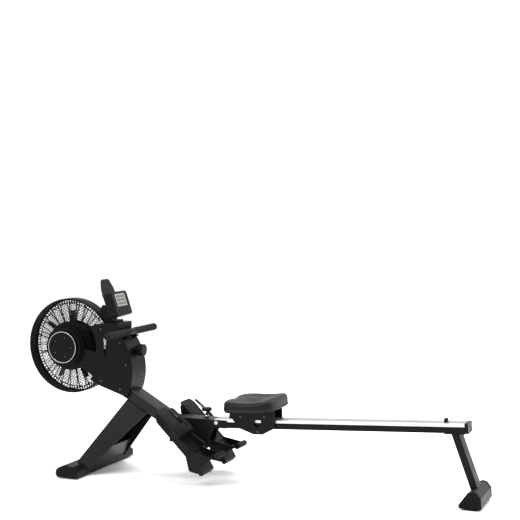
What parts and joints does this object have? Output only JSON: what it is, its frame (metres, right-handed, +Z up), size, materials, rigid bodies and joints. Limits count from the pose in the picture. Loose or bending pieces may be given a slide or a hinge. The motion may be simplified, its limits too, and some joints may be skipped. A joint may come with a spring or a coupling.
{
  "type": "rowing machine",
  "caption": "Folding air rowing machine with a caged fan, pull handle, tilting console, foot plates and a padded seat on a rail",
  "frame": {"origin": "on the floor under the middle of the bounding box", "axes": "+X from the fan to the rear foot, +Y to the rower's right when facing the fan, +Z up"},
  "size_m": [2.1819, 0.528, 0.8866],
  "materials": {
    "black_paint": "satin black powder coat",
    "casing_plastic": "fine textured black plastic",
    "grille_plastic": "black moulded plastic",
    "fan_plastic": "black moulded plastic",
    "drive_plastic": "dark grey nylon",
    "grip_foam": "dark foam rubber",
    "seat_pad": "dark grey padded vinyl",
    "rail_aluminium": "anodised extrusion",
    "rail_black": "satin black",
    "screen_glass": "grey display window",
    "button_plastic": "grey rubbery keys",
    "steel": "bright zinc plated",
    "webbing": "black woven webbing",
    "rubber": "black rubber",
    "roller_nylon": "nylon"
  },
  "bodies": {
    "frame": {"main_beam": "black_paint", "front_leg": "black_paint", "front_foot": "black_paint", "front_foot_caps": "casing_plastic", "front_foot_pads": "rubber", "centre_bracket": "black_paint", "fold_bolt": "steel", "casing_screws": "steel", "casing_spine": "casing_plastic", "casing_left": "casing_plastic", "casing_right": "casing_plastic", "side_frames": "black_paint", "drive_axles": "steel", "cage_band": "grille_plastic", "grille_left": "grille_plastic", "grille_right": "grille_plastic", "hub_cover_left": "casing_plastic", "hub_cover_right": "casing_plastic", "drive_belt": "rubber", "recoil_case": "drive_plastic", "inner_strap": "webbing", "handle_cradle": "casing_plastic", "console_mast": "casing_plastic", "footrest_axle": "steel"},
    "fan": {"fan_impeller": "fan_plastic"},
    "fan_pulley": {"fan_pulley": "drive_plastic"},
    "drum": {"strap_drum": "drive_plastic"},
    "guide": {"guide_roller": "roller_nylon"},
    "handle": {"handle_bar": "black_paint", "handle_grips": "grip_foam", "pull_strap": "webbing"},
    "console": {"console_housing": "casing_plastic", "console_screen": "screen_glass", "media_holder": "casing_plastic"},
    "button_1": {"console_button_1": "button_plastic"},
    "button_2": {"console_button_2": "button_plastic"},
    "button_3": {"console_button_3": "button_plastic"},
    "button_4": {"console_button_4": "button_plastic"},
    "knob": {"resistance_knob": "casing_plastic"},
    "pull_pin": {"pull_pin": "steel"},
    "rail": {"rail_beam": "rail_black", "rail_track": "rail_aluminium", "rail_end_cap": "casing_plastic", "rail_stops": "rubber", "rear_leg": "black_paint", "rear_foot": "black_paint", "rear_foot_caps": "casing_plastic", "rear_foot_pads": "rubber"},
    "seat": {"seat_pad": "seat_pad", "seat_carriage": "black_paint", "seat_axles": "steel"},
    "roller_front": {"seat_roller_front": "roller_nylon"},
    "roller_rear": {"seat_roller_rear": "roller_nylon"},
    "roller_low": {"low_roller": "roller_nylon"},
    "wheel_left": {"wheel_left": "roller_nylon"},
    "wheel_right": {"wheel_right": "roller_nylon"},
    "footrest_left": {"footrest_left": "casing_plastic", "foot_strap_left": "webbing"},
    "footrest_right": {"footrest_right": "casing_plastic", "foot_strap_right": "webbing"}
  },
  "joints": [
    {"name": "fan_spin", "type": "hinge", "parent": "frame", "child": "fan", "pos_m": [-0.869, 0, 0.571], "axis": [0, 1, 0], "continuous": true},
    {"name": "handle_pull", "type": "slide", "parent": "frame", "child": "handle", "axis": [1, 0, 0], "range_m": [0, 1.2], "stiffness_N_per_m": 12, "springref_m": -0.5, "deforming": ["pull_strap"]},
    {"name": "drum_spin", "type": "hinge", "parent": "frame", "child": "drum", "pos_m": [-0.593, 0, 0.47], "axis": [0, 1, 0], "continuous": true},
    {"name": "fan_pulley_spin", "type": "hinge", "parent": "frame", "child": "fan_pulley", "pos_m": [-0.869, 0, 0.571], "axis": [0, 1, 0], "continuous": true},
    {"name": "guide_spin", "type": "hinge", "parent": "frame", "child": "guide", "pos_m": [-0.611, 0, 0.6367], "axis": [0, 1, 0], "continuous": true},
    {"name": "console_tilt", "type": "hinge", "parent": "frame", "child": "console", "pos_m": [-0.683, 0, 0.752], "axis": [0, 1, 0], "range_deg": [-15, 10]},
    {"name": "knob_turn", "type": "hinge", "parent": "frame", "child": "knob", "pos_m": [-0.521, 0, 0.565], "axis": [1, 0, 0], "range_deg": [0, 280]},
    {"name": "pin_pull", "type": "slide", "parent": "frame", "child": "pull_pin", "axis": [0, 0, 1], "range_m": [0, 0.012], "stiffness_N_per_m": 400},
    {"name": "rail_fold", "type": "hinge", "parent": "frame", "child": "rail", "pos_m": [-0.109, 0, 0.264], "axis": [0, -1, 0], "range_deg": [0, 75]},
    {"name": "seat_slide", "type": "slide", "parent": "rail", "child": "seat", "axis": [0.9986, 0, 0.0536], "range_m": [-0.05, 0.78]},
    {"name": "roller_front_spin", "type": "hinge", "parent": "seat", "child": "roller_front", "pos_m": [0.01099, 0, 0.30051], "axis": [0, 1, 0], "continuous": true},
    {"name": "roller_rear_spin", "type": "hinge", "parent": "seat", "child": "roller_rear", "pos_m": [0.12283, 0, 0.30651], "axis": [0, 1, 0], "continuous": true},
    {"name": "roller_low_spin", "type": "hinge", "parent": "seat", "child": "roller_low", "pos_m": [0.09239, 0, 0.23918], "axis": [0, 1, 0], "continuous": true},
    {"name": "wheel_left_spin", "type": "hinge", "parent": "frame", "child": "wheel_left", "pos_m": [-0.79, -0.249, 0.025], "axis": [0, 1, 0], "continuous": true},
    {"name": "wheel_right_spin", "type": "hinge", "parent": "frame", "child": "wheel_right", "pos_m": [-0.79, 0.249, 0.025], "axis": [0, 1, 0], "continuous": true},
    {"name": "footrest_left_tilt", "type": "hinge", "parent": "frame", "child": "footrest_left", "pos_m": [-0.222, -0.12, 0.177], "axis": [0, 1, 0], "range_deg": [-20, 0]},
    {"name": "footrest_right_tilt", "type": "hinge", "parent": "frame", "child": "footrest_right", "pos_m": [-0.222, 0.12, 0.177], "axis": [0, 1, 0], "range_deg": [-20, 0]},
    {"name": "button_1_press", "type": "slide", "parent": "console", "child": "button_1", "axis": [-0.9455, 0, -0.3256], "range_m": [0, 0.0015], "stiffness_N_per_m": 300},
    {"name": "button_2_press", "type": "slide", "parent": "console", "child": "button_2", "axis": [-0.9455, 0, -0.3256], "range_m": [0, 0.0015], "stiffness_N_per_m": 300},
    {"name": "button_3_press", "type": "slide", "parent": "console", "child": "button_3", "axis": [-0.9455, 0, -0.3256], "range_m": [0, 0.0015], "stiffness_N_per_m": 300},
    {"name": "button_4_press", "type": "slide", "parent": "console", "child": "button_4", "axis": [-0.9455, 0, -0.3256], "range_m": [0, 0.0015], "stiffness_N_per_m": 300}
  ],
  "couplings": [
    {"joint": "drum_spin", "follows": "handle_pull", "rad_per_m": 34.13},
    {"joint": "fan_pulley_spin", "follows": "handle_pull", "rad_per_m": 68.259},
    {"joint": "guide_spin", "follows": "handle_pull", "rad_per_m": 88.496},
    {"joint": "roller_front_spin", "follows": "seat_slide", "rad_per_m": 65.359},
    {"joint": "roller_rear_spin", "follows": "seat_slide", "rad_per_m": 65.359},
    {"joint": "roller_low_spin", "follows": "seat_slide", "rad_per_m": -97.087}
  ]
}
